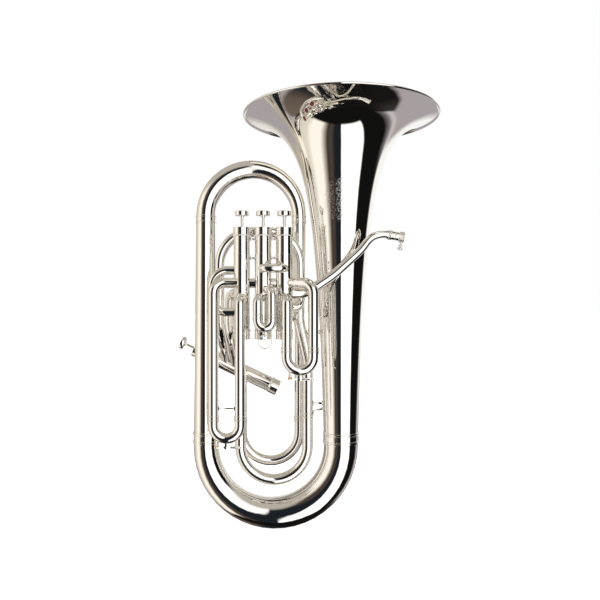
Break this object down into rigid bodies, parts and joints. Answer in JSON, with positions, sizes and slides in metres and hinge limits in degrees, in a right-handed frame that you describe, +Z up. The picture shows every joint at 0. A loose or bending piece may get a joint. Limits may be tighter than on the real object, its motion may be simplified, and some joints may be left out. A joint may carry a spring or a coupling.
{
  "type": "euphonium",
  "caption": "Bell-up compensating euphonium: conical silver-plated loop with flared bell, upright piston valves, a side valve, pull-out slides and a leadpipe.",
  "frame": {"origin": "lowest point of the bottom bow, midway between the bell and the main branch", "axes": "+Z up to the bell's rim, +X from the main branch towards the bell, valves on the -Y side"},
  "size_m": [0.4131, 0.305, 0.6436],
  "materials": {
    "silver_plate": "polished silver plate",
    "piston_alloy": "lapped nickel alloy",
    "spring_steel": "drawn wire"
  },
  "bodies": {
    "root": {"bell": "silver_plate", "bell_ferrule": "silver_plate", "bell_rim_wire": "silver_plate", "bottom_bow": "silver_plate", "bottom_caps": "silver_plate", "branch_ferrule": "silver_plate", "casing_knuckles": "silver_plate", "compensating_return": "silver_plate", "front_loop": "silver_plate", "leadpipe": "silver_plate", "leadpipe_brace": "silver_plate", "main_branch": "silver_plate", "main_slide_sleeves": "silver_plate", "mouthpiece_receiver": "silver_plate", "neck_pipe": "silver_plate", "slide_1_sleeves": "silver_plate", "slide_2_sleeves": "silver_plate", "slide_3_sleeves": "silver_plate", "slide_4_sleeves": "silver_plate", "stays": "silver_plate", "third_valve_loop": "silver_plate", "top_bow": "silver_plate", "top_bow_rings": "silver_plate", "top_caps": "silver_plate", "transfer_pipe": "silver_plate", "valve_casing_1": "silver_plate", "valve_casing_2": "silver_plate", "valve_casing_3": "silver_plate", "valve_casing_4": "silver_plate", "valve_spring_1": "spring_steel", "valve_spring_2": "spring_steel", "valve_spring_3": "spring_steel", "valve_spring_4": "spring_steel"},
    "valve_1": {"piston_1": "piston_alloy", "stem_1": "silver_plate", "finger_button_1": "silver_plate"},
    "valve_2": {"piston_2": "piston_alloy", "stem_2": "silver_plate", "finger_button_2": "silver_plate"},
    "valve_3": {"piston_3": "piston_alloy", "stem_3": "silver_plate", "finger_button_3": "silver_plate"},
    "valve_4": {"piston_4": "piston_alloy", "stem_4": "silver_plate", "finger_button_4": "silver_plate"},
    "slide_1": {"slide_1_crook": "silver_plate", "water_key_1_saddle": "silver_plate"},
    "slide_2": {"slide_2_crook": "silver_plate", "pull_ring_eye": "silver_plate"},
    "slide_3": {"slide_3_crook": "silver_plate", "water_key_3_saddle": "silver_plate"},
    "slide_4": {"slide_4_crook": "silver_plate"},
    "main_slide": {"main_slide_crook": "silver_plate"},
    "key_1": {"water_key_1": "silver_plate"},
    "key_3": {"water_key_3": "silver_plate"},
    "ring": {"pull_ring": "silver_plate"},
    "thumb_screw": {"receiver_screw": "silver_plate"}
  },
  "joints": [
    {"name": "valve_1_press", "type": "slide", "parent": "root", "child": "valve_1", "axis": [0, 0, -1], "range_m": [0, 0.0145], "stiffness_N_per_m": 150, "springref_m": -0.014, "deforming": ["valve_spring_1"]},
    {"name": "valve_2_press", "type": "slide", "parent": "root", "child": "valve_2", "axis": [0, 0, -1], "range_m": [0, 0.0145], "stiffness_N_per_m": 150, "springref_m": -0.014, "deforming": ["valve_spring_2"]},
    {"name": "valve_3_press", "type": "slide", "parent": "root", "child": "valve_3", "axis": [0, 0, -1], "range_m": [0, 0.0145], "stiffness_N_per_m": 150, "springref_m": -0.014, "deforming": ["valve_spring_3"]},
    {"name": "valve_4_press", "type": "slide", "parent": "root", "child": "valve_4", "axis": [0.9026, 0, -0.4305], "range_m": [0, 0.0145], "stiffness_N_per_m": 150, "springref_m": -0.014, "deforming": ["valve_spring_4"]},
    {"name": "slide_1_pull", "type": "slide", "parent": "root", "child": "slide_1", "axis": [0, 0, -1], "range_m": [0, 0.04]},
    {"name": "slide_2_pull", "type": "slide", "parent": "root", "child": "slide_2", "axis": [0, 0, -1], "range_m": [0, 0.009]},
    {"name": "slide_3_pull", "type": "slide", "parent": "root", "child": "slide_3", "axis": [0, 0, -1], "range_m": [0, 0.08]},
    {"name": "slide_4_pull", "type": "slide", "parent": "root", "child": "slide_4", "axis": [0, 0, -1], "range_m": [0, 0.04]},
    {"name": "main_slide_pull", "type": "slide", "parent": "root", "child": "main_slide", "axis": [0, 0, -1], "range_m": [0, 0.015]},
    {"name": "key_1_open", "type": "hinge", "parent": "slide_1", "child": "key_1", "pos_m": [0.0413, -0.076, 0.242], "axis": [0, -1, 0], "range_deg": [0, 20], "stiffness_Nm_per_rad": 0.01, "springref_deg": -22.92},
    {"name": "key_3_open", "type": "hinge", "parent": "slide_3", "child": "key_3", "pos_m": [-0.0643, -0.076, 0.144], "axis": [0, -1, 0], "range_deg": [0, 20], "stiffness_Nm_per_rad": 0.01, "springref_deg": -22.92},
    {"name": "ring_swing", "type": "hinge", "parent": "slide_2", "child": "ring", "pos_m": [-0.0092, -0.076, 0.30565], "axis": [1, 0, 0], "range_deg": [-80, 40]},
    {"name": "screw_turn", "type": "hinge", "parent": "root", "child": "thumb_screw", "pos_m": [0.19077, -0.05, 0.44121], "axis": [-0.1736, 0, -0.9848], "continuous": true}
  ]
}
